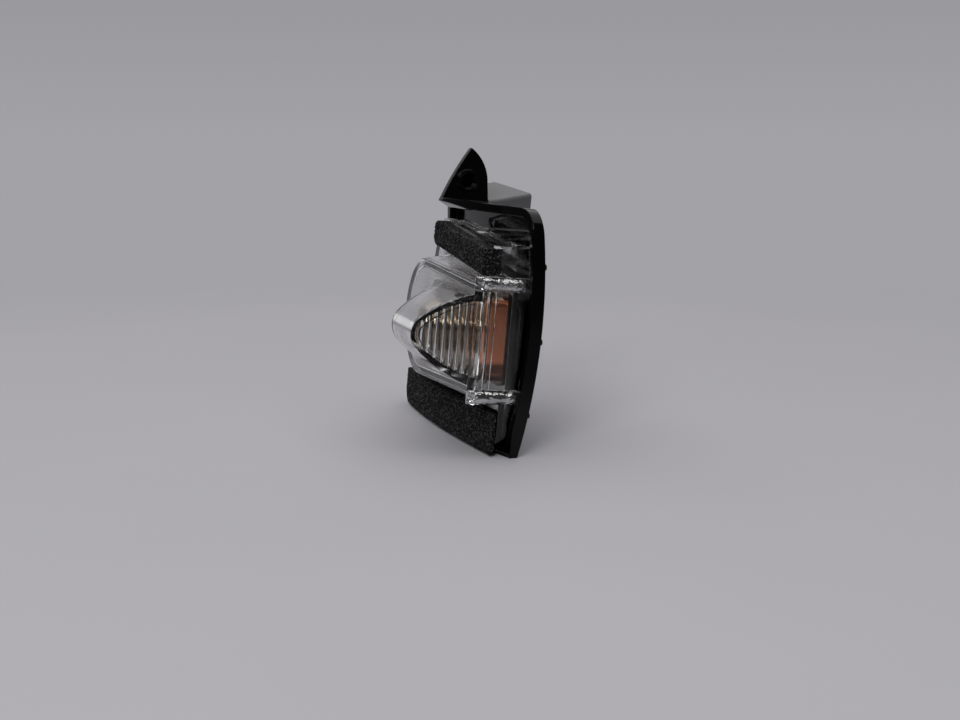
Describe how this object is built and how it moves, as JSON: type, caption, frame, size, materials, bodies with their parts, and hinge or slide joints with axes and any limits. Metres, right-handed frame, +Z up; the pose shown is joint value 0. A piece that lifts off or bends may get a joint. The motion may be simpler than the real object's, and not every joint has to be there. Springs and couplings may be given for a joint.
{
  "type": "side repeater lamp",
  "caption": "Side repeater lamp for a door mirror: clear domed lens with a fluted end window over an amber inner lens, in a dark tray with a screw lug, foam seals and a rear socket.",
  "frame": {"origin": "middle of the bounding box in X and Y, on the plane of the carrier's bottom edge", "axes": "+X along the lamp towards the fluted end window, -Y out through the lens, +Z up towards the screw lug"},
  "size_m": [0.095, 0.0562, 0.0868],
  "materials": {
    "carrier": "moulded black plastic, glossy",
    "lens": "clear polished plastic",
    "reflector": "vacuum metallised plastic",
    "amber": "clear amber plastic",
    "bulb_glass": "clear glass",
    "filament": "drawn wire",
    "holder": "moulded matt plastic",
    "gasket": "moulded rubber",
    "brass": "stamped strip",
    "connector": "moulded grey plastic",
    "foam": "open-pored foam strip"
  },
  "bodies": {
    "root": {"carrier": "carrier", "lens": "lens", "reflector": "reflector", "amber_inner_lens": "amber", "bulb_glass": "bulb_glass", "bulb_filament": "filament", "bulb_holder": "holder", "holder_gasket": "gasket", "holder_contacts": "brass", "live_rail": "brass", "earth_rail": "brass", "connector_shell": "connector", "upper_foam_seal": "foam", "lower_foam_seal": "foam"}
  },
  "joints": []
}
